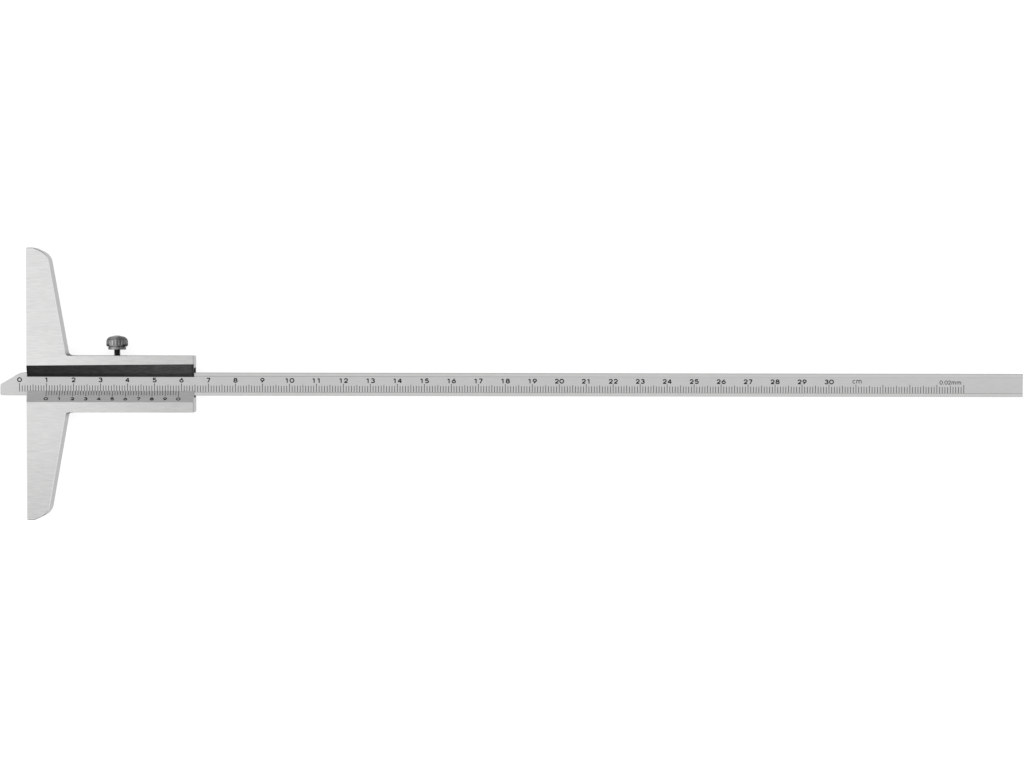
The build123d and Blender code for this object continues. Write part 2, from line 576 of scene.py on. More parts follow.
@dataclass(frozen=True)
class BlackenedSteel:
    """Clamp screw: turned and blackened steel, rubbed bright on its knurls' crests, with painted light and
    shade.

    The levels are greys as they show on a screen. A fade is the two distances, in millimetres, between which
    one grey turns into the next: from the head's top for the dome, from its seat for the foot, and else aside
    from the screw's axis along the beam.
    """

    root: float = 82
    crest: float = 122
    rub_depth: float = 0.03
    # painted shade on the dome, under the head's sides and in the groove under the head
    dome: float = 90
    dome_fade: Pair = (-2.2, -1.0)
    foot: float = 40
    foot_fade: Pair = (1.3, 0.5)
    foot_side_fade: Pair = (1.9, 2.9)
    collar: float = 108
    groove: float = 46
    thread_root: float = 24
    thread_crest: float = 62
    # painted highlight beside the axis, and painted shade towards the beam's far end
    rubbed_middle: float = -1.0
    rubbed_fade: Pair = (2.3, 0.5)
    rubbed_gain: float = 1.1
    dark_fade: Pair = (0.2, 1.6)
    dark_share: float = 0.16
    patch: Triple = (1.1, 0.8, 1.1)
    patch_share: float = 1.1
    ring: Triple = (3.0, 0.07, 3.0)
    ring_share: float = 0.35
    ring_depth: float = 0.004
    roughness: float = 0.4
    roughness_swing: float = 0.25
    tint: Triple = (1.0, 0.995, 0.985)

    def turned_shade(self, screw: "ClampScrew", aside: Signal, y: Signal, radius: Signal) -> Signal:
        """Give the brightness of the head, collar, groove and thread, with painted shade on the dome, under
        the head's sides and in the groove, before the painted highlight and side shade.

        Args:
            screw: The clamp screw, for its seats and radii.
            aside: The distance from the screw's axis along the beam, in millimetres.
            y: The place along the axis.
            radius: The distance from the axis.

        Returns:
            The brightness.
        """
        on_crest = radius.ramp(screw.head_radius - screw.knurl_depth, screw.head_radius - self.rub_depth)
        shade = choose(on_crest, tone(self.crest), tone(self.root))
        shade = choose((y - screw.head_top).ramp(*self.dome_fade), tone(self.dome), shade)
        on_chamfer = (y > screw.head_seat - HAIR) * (y < screw.head_seat + screw.head_chamfer)
        shade = choose(on_chamfer, tone(self.crest), shade)
        foot_shade = (y - screw.head_seat).ramp(*self.foot_fade) * abs(aside).ramp(*self.foot_side_fade)
        shade = choose(foot_shade, tone(self.foot), shade)
        off_shank = radius > screw.shank_clear
        on_collar = (y < screw.head_seat - HAIR) * (y > screw.collar_seat - HAIR) * off_shank
        shade = choose(on_collar, tone(self.collar), shade)
        half = screw.groove_width / 2
        in_groove = (abs(y - screw.head_seat + half) < half + HAIR) * off_shank
        in_groove = in_groove * (radius < screw.collar_radius - self.rub_depth)
        shade = choose(in_groove, tone(self.groove), shade)
        on_thread = radius.ramp(screw.thread_root + self.rub_depth, screw.thread_crest)
        threaded = choose(on_thread, tone(self.thread_crest), tone(self.thread_root))
        return choose(y < screw.collar_seat, threaded, shade)

    def material(self, screw: "ClampScrew") -> bpy.types.Material:
        """Make the material.

        Args:
            screw: The clamp screw, for its axis, seats and radii.

        Returns:
            The material.
        """
        bench = ShaderBench.of("blackened_screw_steel")
        x, y, z = bench.axes()
        aside = x - screw.axis_x
        patches = bench.noise(self.patch, detail=4.0) - 0.5
        rings = bench.noise(self.ring, seed=5.0)
        shade = self.turned_shade(screw, aside, y, (aside**2.0 + z**2.0) ** 0.5)
        # painted highlight beside the axis, and painted shade on the side towards the beam's far end
        shade = shade * (1 + abs(aside - self.rubbed_middle).ramp(*self.rubbed_fade) * self.rubbed_gain)
        shade = shade * (1 - aside.ramp(*self.dark_fade) * self.dark_share)
        shade = shade * (1 + patches * self.patch_share) * (1 + (rings - 0.5) * self.ring_share)
        roughness = self.roughness + patches * self.roughness_swing
        return bench.finish(bench.coat(shade, self.tint, roughness, bench.bumped(rings, self.ring_depth)))


@dataclass(frozen=True)
class RolledStrip:
    """Leaf spring and clamp pad: copper alloys, bright from rolling or turning and a little tarnished."""

    name: str
    tint: Triple
    line: Triple
    line_share: float = 0.2
    line_depth: float = 0.002
    patch: Triple = (4.0, 2.0, 2.0)
    tarnish_range: Pair = (0.35, 0.75)
    tarnish_share: float = 0.35
    roughness: float = 0.28
    tarnish_roughness: float = 0.25

    def material(self) -> bpy.types.Material:
        """Make the material.

        Returns:
            The material.
        """
        bench = ShaderBench.of(self.name)
        tarnish = bench.noise(self.patch, detail=4.0).ramp(*self.tarnish_range)
        lines = bench.noise(self.line, seed=2.0)
        shade = (1 - tarnish * self.tarnish_share) * (1 + (lines - 0.5) * self.line_share)
        roughness = self.roughness + tarnish * self.tarnish_roughness
        return bench.finish(bench.coat(shade, self.tint, roughness, bench.bumped(lines, self.line_depth)))


# ---- modelling
class Part(Enum):
    """What a selection in edit mode is made of."""

    POINTS = "VERT"
    EDGES = "EDGE"


def put_down_all() -> None:
    """Deselect every object, so that an operator meets only the piece it is meant for."""
    if bpy.context.object and bpy.context.object.mode != "OBJECT":
        bpy.ops.object.mode_set(mode="OBJECT")
    bpy.ops.object.select_all(action="DESELECT")


def take_up(*pieces: bpy.types.Object) -> None:
    """Select some pieces, the first of them as the active one."""
    put_down_all()
    for piece in pieces:
        piece.select_set(True)
    bpy.context.view_layer.objects.active = pieces[0]


def pick(part: Part, wanted: Callable[[list[Vector]], bool]) -> int:
    """Select the points or edges of the piece in edit mode that pass a test.

    Args:
        part: What to select.
        wanted: The test, on the places of a member's corners in the piece's own space.

    Returns:
        How many were selected.
    """
    bpy.ops.mesh.select_mode(type=part.value)
    bpy.ops.mesh.select_all(action="DESELECT")
    mesh = bmesh.from_edit_mesh(bpy.context.edit_object.data)
    members = mesh.verts if part is Part.POINTS else mesh.edges
    count = 0
    for member in members:
        corners = [member] if part is Part.POINTS else member.verts
        if wanted([corner.co for corner in corners]):
            member.select_set(True)
            count += 1
    bmesh.update_edit_mesh(bpy.context.edit_object.data)
    return count


def weld() -> None:
    """Merge the points that coincide in the piece in edit mode, and leave all of it selected."""
    bpy.ops.mesh.select_all(action="SELECT")
    bpy.ops.mesh.remove_doubles(threshold=WELD * MM)
    bpy.ops.mesh.select_all(action="SELECT")


def face_outwards() -> None:
    """Turn the faces of the piece in edit mode outwards, and leave edit mode."""
    bpy.ops.mesh.select_all(action="SELECT")
    bpy.ops.mesh.normals_make_consistent(inside=False)
    bpy.ops.object.mode_set(mode="OBJECT")


def modified(piece: bpy.types.Object, kind: str, **settings: Any) -> None:
    """Shape the active piece with a modifier and apply it.

    Args:
        piece: The piece, which is the active one.
        kind: Blender's name of the modifier.
        settings: The modifier's own properties.
    """
    modifier = piece.modifiers.new(kind.lower(), kind)
    for key, value in settings.items():
        setattr(modifier, key, value)
    bpy.ops.object.modifier_apply(modifier=modifier.name)


def settle(piece: bpy.types.Object) -> bpy.types.Object:
    """Move a piece's place, turn and scale into its mesh, so that its object sits at the origin."""
    take_up(piece)
    bpy.ops.object.transform_apply(location=True, rotation=True, scale=True)
    return piece


def copied(piece: bpy.types.Object, offset: Sequence[float]) -> bpy.types.Object:
    """Copy a settled piece with a mesh of its own.

    Args:
        piece: The piece to copy.
        offset: How far the copy stands from it, in millimetres.

    Returns:
        The copy, settled.
    """
    take_up(piece)
    bpy.ops.object.duplicate()
    copy = bpy.context.object
    copy.location = Vector(offset) * MM
    return settle(copy)


def joined(name: str, pieces: Sequence[bpy.types.Object]) -> bpy.types.Object:
    """Join settled pieces into one.

    Args:
        name: The name of the whole.
        pieces: The pieces, one or more.

    Returns:
        The whole.
    """
    take_up(*pieces)
    if len(pieces) > 1:
        bpy.ops.object.join()
    whole = bpy.context.object
    whole.name = name
    return whole


def drawn(name: str, points: Sequence[Vector]) -> bpy.types.Object:
    """Draw a line from point to point, and stay in edit mode.

    Args:
        name: The piece's name.
        points: The line's points, in millimetres.

    Returns:
        The line.
    """
    put_down_all()
    bpy.ops.mesh.primitive_plane_add(size=MM)
    piece = bpy.context.object
    piece.name = name
    bpy.ops.object.mode_set(mode="EDIT")
    bpy.ops.mesh.select_mode(type=Part.POINTS.value)
    bpy.ops.mesh.select_all(action="SELECT")
    bpy.ops.mesh.merge(type="CENTER")
    bpy.ops.transform.translate(value=points[0] * MM)
    for here, there in zip(points, points[1:]):
        bpy.ops.mesh.extrude_region_move(TRANSFORM_OT_translate={"value": (there - here) * MM})
    return piece


def turned(name: str, profile: Sequence[Pair], steps: int) -> bpy.types.Object:
    """Turn a solid about the Z axis from half its outline.

    Args:
        name: The piece's name.
        profile: The outline's points as radius and height, in millimetres, from end to end of the axis.
        steps: How many sides the round has.

    Returns:
        The solid.
    """
    piece = drawn(name, [Vector((radius, 0.0, height)) for radius, height in profile])
    bpy.ops.mesh.select_all(action="SELECT")
    bpy.ops.mesh.spin(steps=steps, angle=2 * math.pi, center=(0, 0, 0), axis=(0, 0, 1))
    weld()
    face_outwards()
    return piece


def dress(piece: bpy.types.Object, material: bpy.types.Material) -> None:
    """Give a piece one material, in place of what it had."""
    piece.data.materials.clear()
    piece.data.materials.append(material)


def report(piece: bpy.types.Object, body: str) -> None:
    """Log a piece that is ready."""
    log.info("%s rides on %s, %d faces", piece.name, body, len(piece.data.polygons))


# ---- graduations
@dataclass(frozen=True)
class LineRow:
    """Graduation lines of one length at one pitch, cut across X on a face that may slope."""

    first: float
    pitch: float
    count: int
    foot: float
    top: float
    width: float
    fill: float = 0.02
    proud: float = 0.008
    end_round: float = 0.3

    def lines(self, height: float, slope: float = 0.0, edge: float = 0.0) -> bpy.types.Object:
        """Model one line and set its copies in a row.

        Args:
            height: How high the face lies at its edge, in millimetres.
            slope: How steeply the face rises as Y falls, in radians.
            edge: Where on Y the slope starts, in millimetres.

        Returns:
            The whole row.
        """
        middle = (self.foot + self.top) / 2
        rise = (edge - middle) * math.tan(slope)
        put_down_all()
        bpy.ops.mesh.primitive_cube_add(size=1.0)
        line = bpy.context.object
        line.scale = Vector((self.width, (self.top - self.foot) / math.cos(slope), self.fill)) * MM
        settle(line)
        bpy.ops.object.mode_set(mode="EDIT")
        pick(Part.EDGES, lambda ends: (ends[0].xy - ends[1].xy).length < WELD * MM)
        bpy.ops.mesh.bevel(offset=self.end_round * self.width * MM, segments=2, affect="EDGES")
        bpy.ops.object.mode_set(mode="OBJECT")
        line.rotation_euler = (-slope, 0.0, 0.0)
        line.location = Vector((self.first, middle, height + rise + self.proud - self.fill / 2)) * MM
        settle(line)
        modified(
            line,
            "ARRAY",
            count=self.count,
            use_relative_offset=False,
            use_constant_offset=True,
            constant_offset_displace=(self.pitch * MM, 0.0, 0.0),
        )
        return line


Stroke = list[Pair]


def bow(middle: Pair, reach: Pair, start: float, end: float) -> Stroke:
    """Give one curved cut of a figure, part of an oval.

    Args:
        middle: The oval's middle, where 1 is the figure's width and height.
        reach: How far the oval reaches from its middle, across and up.
        start: Where the cut starts, in degrees from the right, turning left.
        end: Where it ends.

    Returns:
        The cut's points, about 24 degrees apart.
    """
    steps = max(4, round(abs(end - start) / 24))
    turns = [math.radians(start + (end - start) * step / steps) for step in range(steps + 1)]
    return [(middle[0] + reach[0] * math.cos(turn), middle[1] + reach[1] * math.sin(turn)) for turn in turns]


# The cuts of an engraver's plain figures, in a box from -0.5 to 0.5 across and from 0 to 1 up.
CUTS: dict[str, list[Stroke]] = {
    "0": [bow((0.0, 0.5), (0.58, 0.5), 0, 360)],
    "1": [[(0.08, 1.02), (0.08, -0.1)], [(0.08, 0.97), (-0.4, 0.84)]],
    "2": [bow((0.0, 0.68), (0.46, 0.32), 175, -38) + [(-0.42, 0.04)], [(-0.5, 0.0), (0.52, 0.0)]],
    "3": [bow((-0.02, 0.76), (0.42, 0.24), 160, -90), bow((-0.02, 0.27), (0.5, 0.27), 95, -160)],
    "4": [[(0.24, -0.1), (0.24, 1.02)], [(0.2, 1.0), (-0.5, 0.3)], [(-0.6, 0.27), (0.56, 0.27)]],
    "5": [
        [(0.46, 1.0), (-0.36, 1.0)],
        [(-0.32, 1.05), (-0.4, 0.52)],
        bow((0.0, 0.32), (0.5, 0.32), 135, -155),
    ],
    "6": [[(0.26, 1.05), (-0.4, 0.47)], bow((0.0, 0.32), (0.5, 0.32), 0, 360)],
    "7": [[(-0.52, 1.0), (0.5, 1.0)], [(0.44, 0.98), (-0.18, -0.08)]],
    "8": [bow((0.0, 0.76), (0.4, 0.24), 0, 360), bow((0.0, 0.27), (0.5, 0.27), 0, 360)],
    "9": [bow((0.0, 0.68), (0.5, 0.32), 0, 360), [(0.4, 0.53), (-0.26, -0.05)]],
    ".": [[(0.0, -0.08), (0.0, 0.1)]],
    "c": [bow((0.0, 0.36), (0.48, 0.38), 48, 312)],
    "m": [
        [(-0.8, -0.06), (-0.8, 0.78)],
        bow((-0.4, 0.42), (0.4, 0.32), 165, 0) + [(0.0, -0.06)],
        bow((0.4, 0.42), (0.4, 0.32), 165, 0) + [(0.8, -0.06)],
    ],
}
# How much room a sign takes, where 1 is a figure's.
ADVANCE: dict[str, float] = {".": 0.5, "c": 1.15, "m": 1.6}


@dataclass(frozen=True)
class Lettering:
    """Plain engraved figures and unit marks, wider than a book face, as instrument makers cut them.

    The height and width are those of a figure between the middles of its cuts, in millimetres. Each cut of a
    figure stands one step over the last, so that no two faces coincide where they cross.
    """

    height: float
    width: float
    cut: float
    pitch: float
    fill: float = 0.02
    proud: float = 0.008
    step: float = 0.002

    def sign(self, letter: str) -> bpy.types.Object:
        """Cut one figure or letter at the origin.

        Args:
            letter: The figure or letter.

        Returns:
            The figure, each of its cuts a closed mesh.
        """
        cuts = []
        rise = Vector((0.0, 0.0, self.fill)) * MM
        for number, points in enumerate(CUTS[letter]):
            foot = number * self.step - self.fill / 2
            places = [Vector((across * self.width, up * self.height, foot)) for across, up in points]
            stroke = drawn(f"cut_{letter}", places)
            weld()
            bpy.ops.mesh.extrude_region_move(TRANSFORM_OT_translate={"value": rise})
            bpy.ops.object.mode_set(mode="OBJECT")
            modified(stroke, "SOLIDIFY", thickness=self.cut * MM, offset=0.0, use_even_offset=True)
            bpy.ops.object.mode_set(mode="EDIT")
            face_outwards()
            cuts.append(stroke)
        return joined(f"sign_{letter}", cuts)

    def words(
        self, name: str, texts: Sequence[tuple[str, Sequence[float]]], slope: float = 0.0
    ) -> bpy.types.Object:
        """Engrave words, each from copies of the same figures.

        Args:
            name: The name of the finished piece.
            texts: Each word, with the middle of its foot on the face, in millimetres.
            slope: How steeply the face rises as Y falls, in radians.

        Returns:
            All the words as one mesh.
        """
        used = sorted({letter for text, _ in texts for letter in text})
        signs = {letter: self.sign(letter) for letter in used}
        finished = []
        for text, place in texts:
            shares = [ADVANCE.get(letter, 1.0) for letter in text]
            along = -sum(shares) / 2
            letters = []
            for letter, share in zip(text, shares):
                letters.append(copied(signs[letter], ((along + share / 2) * self.pitch, 0.0, 0.0)))
                along += share
            word = joined(name, letters)
            word.rotation_euler = (-slope, 0.0, 0.0)
            word.location = (Vector(place) + Vector((0.0, 0.0, self.proud - self.fill / 2))) * MM
            finished.append(settle(word))
        take_up(*signs.values())
        bpy.ops.object.delete()
        return joined(name, finished)


# ---- frame
@dataclass(frozen=True)
class BaseAndSlider:
    """The one-piece base and slider, with the vernier on its lower bevel."""

    length: float = 61.8
    arm_walls_start: float = 11.8
    # the middle and fades of the painted shade in the inner corners
    corner: Pair = (15.9, 11.5)
    corner_along_fade: Pair = (1.8, 0.7)
    corner_across_fade: Pair = (1.7, 0.6)
    slot_top: float = 5.9
    slot_bottom: float = -4.8
    slot_roof: float = 2.25
    # how far the painted shade round the slot's mouth reaches
    mouth_rim: float = 0.2
    mouth_foot: float = -3.1
    black_border: Pair = (6.85, 7.43)
    window_top: float = 2.67
    window_bottom: float = 2.57
    bevel_width: float = 4.4
    vernier_bevel_width: float = 4.1
    lip_top: float = 2.5
    front: float = 4.0
    edge_break: float = 0.2
    vernier_zero: float = 7.13
    vernier_step: float = 0.98
    vernier_divisions: int = 50
    numbered_every: int = 5
    line_width: float = 0.21
    line_inset: float = 0.03
    short_foot: float = -4.10
    long_foot: float = -4.55
    figure_foot: float = -5.86
    figures: Lettering = Lettering(height=0.88, width=1.18, cut=0.33, pitch=1.6)

    @property
    def vernier_slope(self) -> float:
        """Give how steeply the vernier face rises, in radians."""
        return math.atan((self.front - self.lip_top) / self.vernier_bevel_width)

    def on_bevel(self, across: Signal, z: Signal, edge: float, width: float) -> Signal:
        """Mark the face of one bevel.

        Args:
            across: The distance from the beam's centre line on the bevel's side, in millimetres.
            z: The height of the surface, in millimetres.
            edge: Where the bevel starts.
            width: How wide it is, seen from the front.

        Returns:
            1 on the bevel and 0 elsewhere.
        """
        slope = (self.front - self.lip_top) / width
        off_plane = abs(z - self.lip_top - (across - edge) * slope)
        return (off_plane < NEAR) * (across > edge - HAIR) * (across < edge + width)

    def on_black(self, x: Signal, y: Signal, z: Signal) -> Signal:
        """Mark the blackening, whose border isn't quite parallel with the upper bevel's edge.

        Args:
            x: The place along the beam, in millimetres.
            y: The place across it.
            z: The height of the surface.

        Returns:
            1 where the steel is blackened and 0 elsewhere.
        """
        near, far = self.black_border
        border = near + x * ((far - near) / self.length)
        bevel = self.on_bevel(y, z, self.window_top, self.bevel_width)
        # the broken edges at the slider's ends cut off the top of the bevel over this width
        cut_off = self.edge_break * self.bevel_width / (self.front - self.lip_top) + HAIR
        front = (z > self.front - self.edge_break - HAIR) * (y > self.window_top + self.bevel_width - cut_off)
        return either(bevel, front) * (border - y > 0)

    def in_slot(self, y: Signal, z: Signal) -> Signal:
        """Mark the walls of the guide slot, which are given a darker grey as painted shade."""
        across = (y < self.slot_top + HAIR) * (y > self.slot_bottom - HAIR)
        return across * (abs(z) < self.slot_roof + HAIR)

    def in_mouth(self, x: Signal, y: Signal, z: Signal) -> Signal:
        """Mark painted shade round the slot's mouth on the slider's end, and the blackened end of the lip
        over it.

        Args:
            x: The place along the beam, in millimetres.
            y: The place across it.
            z: The height of the surface.

        Returns:
            1 on the rim and the lip's end, and 0 elsewhere.
        """
        across = (y > self.slot_bottom - self.mouth_rim) * (y < self.slot_top + self.mouth_rim)
        rim = across * (z < self.slot_roof + self.mouth_rim) * (z > self.mouth_foot)
        lip = (y > 0) * (y < self.black_border[1]) * (z > self.slot_roof)
        return (x > self.length - NEAR) * either(rim, lip)

    def in_corner(self, x: Signal, y: Signal) -> Signal:
        """Mark the painted shade in the inner corners between the arms and the slider, darkest in their
        middle.

        Args:
            x: The place along the beam, in millimetres.
            y: The place across it.

        Returns:
            1 in a corner, falling to 0 beside it.
        """
        corner_x, corner_y = self.corner
        along = abs(x - corner_x).ramp(*self.corner_along_fade)
        return along * abs(abs(y) - corner_y).ramp(*self.corner_across_fade)

    def faces_x(self, x: Signal, y: Signal) -> Signal:
        """Mark where walls face along the beam: the slider's and the base's ends and the arms' backs."""
        return either(x < NEAR, x > self.length - NEAR, abs(y) > self.arm_walls_start)

    def build(self, finish: FrameSteel, filling: LineEnamel) -> None:
        """Dress the frame, its spring and its pad, and cut the vernier.

        Args:
            finish: The frame's steel.
            filling: The black of the lines.
        """
        dress(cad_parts["frame_body"], finish.material(self))
        strip = RolledStrip("rolled_bronze_strip", (0.62, 0.42, 0.22), (5.0, 0.2, 0.08))
        dress(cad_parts["leaf_spring"], strip.material())
        plug = RolledStrip("turned_brass_plug", (0.75, 0.58, 0.28), (3.0, 0.06, 3.0))
        dress(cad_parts["clamp_pad"], plug.material())
        enamel = filling.material()
        for piece in (self.vernier_lines(), self.vernier_figures()):
            dress(piece, enamel)
            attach(piece, "frame")
            report(piece, "frame")

    def vernier_lines(self) -> bpy.types.Object:
        """Cut the vernier's 51 lines, every fifth of them longer.

        Returns:
            The lines as one mesh.
        """
        groups = self.vernier_divisions // self.numbered_every
        starts = [(first, groups, self.short_foot) for first in range(1, self.numbered_every)]
        starts.append((0, groups + 1, self.long_foot))
        pitch = self.numbered_every * self.vernier_step
        top = -self.window_bottom - self.line_inset
        cut = []
        for number, count, foot in starts:
            first = self.vernier_zero + number * self.vernier_step
            row = LineRow(first, pitch, count, foot, top, self.line_width)
            cut.append(row.lines(self.lip_top, self.vernier_slope, -self.window_bottom))
        return joined("vernier_lines", cut)

    def vernier_figures(self) -> bpy.types.Object:
        """Cut the vernier's figures, 0 to 9 and 0 again.

        Returns:
            The figures as one mesh.
        """
        rise = (-self.window_bottom - self.figure_foot) * math.tan(self.vernier_slope)
        texts = []
        for number in range(self.vernier_divisions // self.numbered_every + 1):
            along = self.vernier_zero + number * self.numbered_every * self.vernier_step
            texts.append((str(number % 10), (along, self.figure_foot, self.lip_top + rise)))
        return self.figures.words("vernier_figures", texts, self.vernier_slope)


# ---- beam
@dataclass(frozen=True)
class GraduatedBeam:
    """The beam with its main scale, in millimetres with every centimetre numbered.

    The figures' feet fall a little towards the beam's far end, by so many millimetres for each millimetre.
    """

    front: float = 2.2
    thickness: float = 4.0
    edge_break: float = 0.12
    field_recess: float = 0.1
    rail_step: float = 2.95
    zero: float = -2.87
    last_line: int = 350
    last_number: int = 30
    line_foot: float = -2.84
    short_top: float = -0.53
    middle_top: float = -0.16
    long_top: float = 0.24
    line_width: float = 0.22
    figure_foot: float = 0.84
    figure_fall: float = 0.001
    unit_foot: float = 0.8
    unit_place: float = 307.5
    value_foot: float = 0.46
    value_place: float = 342.2
    figures: Lettering = Lettering(height=1.42, width=1.22, cut=0.4, pitch=1.85)
    unit: Lettering = Lettering(height=1.5, width=1.05, cut=0.24, pitch=1.3)
    value: Lettering = Lettering(height=1.3, width=0.86, cut=0.23, pitch=1.22)

    @property
    def field(self) -> float:
        """Give the height of the scale field."""
        return self.front - self.field_recess

    def build(self, finish: BeamSteel, filling: LineEnamel) -> None:
        """Dress the beam and cut its scale.

        Args:
            finish: The beam's steel.
            filling: The black of the lines.
        """
        dress(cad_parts["beam"], finish.material(self))
        enamel = filling.material()
        for piece in (self.scale_lines(), self.scale_figures(), self.unit_marks()):
            dress(piece, enamel)
            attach(piece, "beam")
            report(piece, "beam")

    def scale_lines(self) -> bpy.types.Object:
        """Cut a line at every millimetre, longer at each five and longest at each ten.

        Returns:
            The lines as one mesh.
        """
        fives = self.last_line // 5
        tens = self.last_line // 10
        starts = [(first, 5, fives, self.short_top) for first in range(1, 5)]
        starts += [(5, 10, tens, self.middle_top), (0, 10, tens + 1, self.long_top)]
        rows = [
            LineRow(self.zero + first, pitch, count, self.line_foot, top, self.line_width)
            for first, pitch, count, top in starts
        ]
        return joined("main_scale_lines", [row.lines(self.field) for row in rows])

    def scale_figures(self) -> bpy.types.Object:
        """Cut the centimetre figures over their lines.

        Returns:
            The figures as one mesh.
        """
        texts = []
        for number in range(self.last_number + 1):
            foot = self.figure_foot - self.figure_fall * 10 * number
            texts.append((str(number), (self.zero + 10 * number, foot, self.field)))
        return self.figures.words("main_scale_figures", texts)

    def unit_marks(self) -> bpy.types.Object:
        """Cut the unit of the figures and the value of one vernier division.

        Returns:
            Both marks as one mesh.
        """
        unit = self.unit.words("unit", [("cm", (self.unit_place, self.unit_foot, self.field))])
        value = self.value.words("value", [("0.02mm", (self.value_place, self.value_foot, self.field))])
        return joined("unit_marks", [unit, value])


# ---- clamp screw
@dataclass(frozen=True)
class ClampScrew:
    """The knurled clamp screw: domed head, collar and M2.5 thread, turned in one piece.

    The thread's flats are where its root ends and its crest starts and ends, as shares of its pitch. The
    knurls' flank is a share of their depth.
    """

    axis_x: float = 33.0
    tip: float = 7.47
    collar_seat: float = 12.75
    head_seat: float = 13.85
    head_top: float = 18.0
    head_radius: float = 4.0
    collar_radius: float = 3.3
    collar_chamfer: float = 0.12
    shank_clear: float = 1.4
    head_chamfer: float = 0.5
    chamfer_round: Pair = (0.12, 0.16)
    shoulder: float = 2.1
    shoulder_steps: int = 12
    dome: float = 0.35
    dome_steps: int = 6
    groove_radius: float = 3.05
    groove_width: float = 0.16
    knurl_count: int = 20
    knurl_depth: float = 0.3
    knurl_flank: float = 0.46
    knurl_columns: int = 8
    thread_crest: float = 1.25
    thread_root: float = 0.97
    thread_flats: Triple = (0.18, 0.53, 0.65)
    thread_sunk: float = 0.05
    thread_steps: int = 40
    pitch: float = 0.45
    spare_turns: int = 2
    clean_cut: float = 0.0001
    smooth_angle: float = 32.0

    def build(self, finish: BlackenedSteel) -> None:
        """Model the screw in place of its plain solid and dress it.

        Args:
            finish: The screw's steel.
        """
        screw = joined("clamp_screw_turned", [self.head(), self.thread()])
        screw.rotation_euler = (-math.pi / 2, 0.0, 0.0)
        screw.location = Vector((self.axis_x, self.head_seat, 0.0)) * MM
        settle(screw)
        bpy.ops.object.shade_smooth_by_angle(angle=math.radians(self.smooth_angle))
        dress(screw, finish.material(self))
        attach(screw, "clamp_screw")
        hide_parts("clamp_screw")
        report(screw, "clamp_screw")

    def head_outline(self) -> list[Pair]:
        """Draw half the outline of the head and collar.

        Returns:
            Its points, as radius and height over the head's seat.
        """
        collar_foot = self.collar_seat - self.head_seat
        crown = self.head_top - self.head_seat
        rim_top = crown - self.dome - self.shoulder
        inner = self.head_radius - self.shoulder
        round_in, round_down = self.chamfer_round
        outline = [
            (0.0, collar_foot),
            (self.collar_radius - self.collar_chamfer, collar_foot),
            (self.collar_radius, collar_foot + self.collar_chamfer),
            (self.collar_radius, -self.groove_width),
            (self.groove_radius, -self.groove_width),
            (self.groove_radius, 0.0),
            (self.head_radius - self.head_chamfer, 0.0),
            (self.head_radius - round_in, self.head_chamfer - round_down),
            (self.head_radius, self.head_chamfer),
        ]
        for step in range(self.shoulder_steps + 1):
            turn = math.pi / 2 * step / self.shoulder_steps
            outline.append((inner + self.shoulder * math.cos(turn), rim_top + self.shoulder * math.sin(turn)))
        for step in range(1, self.dome_steps + 1):
            share = 1 - step / self.dome_steps
            outline.append((inner * share, crown - self.dome * share**2))
        return outline

    def head(self) -> bpy.types.Object:
        """Turn the head and collar and press the straight knurling into the rim.

        Returns:
            The head and collar.
        """
        outline = self.head_outline()
        head = turned("screw_head", outline, self.knurl_count * self.knurl_columns)
        take_up(head)
        bpy.ops.object.mode_set(mode="EDIT")
        root = self.head_radius - self.knurl_depth
        for height in [height for radius, height in outline if height > 0 and radius > root]:
            for phase, share in enumerate((1.0, self.knurl_flank)):
                self.press(height, phase, self.head_radius - share * self.knurl_depth)
        bpy.ops.object.mode_set(mode="OBJECT")
        return head

    def press(self, height: float, phase: int, floor: float) -> None:
        """Press one column of every groove down to a radius, at one height of the rim.

        Args:
            height: The height of the ring, in millimetres over the head's seat.
            phase: How many columns the pressed column stands from its groove's middle.
            floor: The radius that it is pressed to, in millimetres.
        """
        step = 2 * math.pi / (self.knurl_count * self.knurl_columns)

        def in_groove(corners: list[Vector]) -> bool:
            """Tell whether a point stands in such a column and out of the groove's floor."""
            place = corners[0] / MM
            if abs(place.z - height) > 2 * WELD:
                return False
            column = round(math.atan2(place.y, place.x) / step - self.knurl_columns / 2) % self.knurl_columns
            near = min(column, self.knurl_columns - column)
            return near == phase and math.hypot(place.x, place.y) > floor + 2 * WELD

        if pick(Part.POINTS, in_groove):
            mesh = bmesh.from_edit_mesh(bpy.context.edit_object.data)
            ring = max(math.hypot(point.co.x, point.co.y) for point in mesh.verts if point.select)
            share = floor * MM / ring
            bpy.ops.transform.resize(value=(share, share, 1.0), center_override=(0.0, 0.0, 0.0))

    def thread(self) -> bpy.types.Object:
        """Cut the thread as one helical surface, square at both ends.

        Returns:
            The threaded shank, its upper end a little way inside the collar.
        """
        foot = self.tip - self.head_seat
        top = self.collar_seat - self.head_seat + self.thread_sunk
        start = foot - self.spare_turns * self.pitch
        crest, root = self.thread_crest, self.thread_root
        root_end, crest_start, crest_end = self.thread_flats
        turn = [(root, 0.0), (root, root_end), (crest, crest_start), (crest, crest_end), (root, 1.0)]
        points = [Vector((radius, 0.0, start + share * self.pitch)) for radius, share in turn]
        thread = drawn("screw_thread", points)
        bpy.ops.object.mode_set(mode="OBJECT")
        modified(
            thread,
            "SCREW",
            screw_offset=self.pitch * MM,
            iterations=math.ceil((top - foot) / self.pitch) + self.spare_turns + 1,
            steps=self.thread_steps,
            render_steps=self.thread_steps,
        )
        bpy.ops.object.mode_set(mode="EDIT")
        for height, way in ((top, 1.0), (foot, -1.0)):
            weld()
            bpy.ops.mesh.bisect(
                plane_co=(0.0, 0.0, height * MM),
                plane_no=(0.0, 0.0, way),
                use_fill=True,
                clear_outer=True,
                threshold=self.clean_cut * MM,
            )
        face_outwards()
        return thread


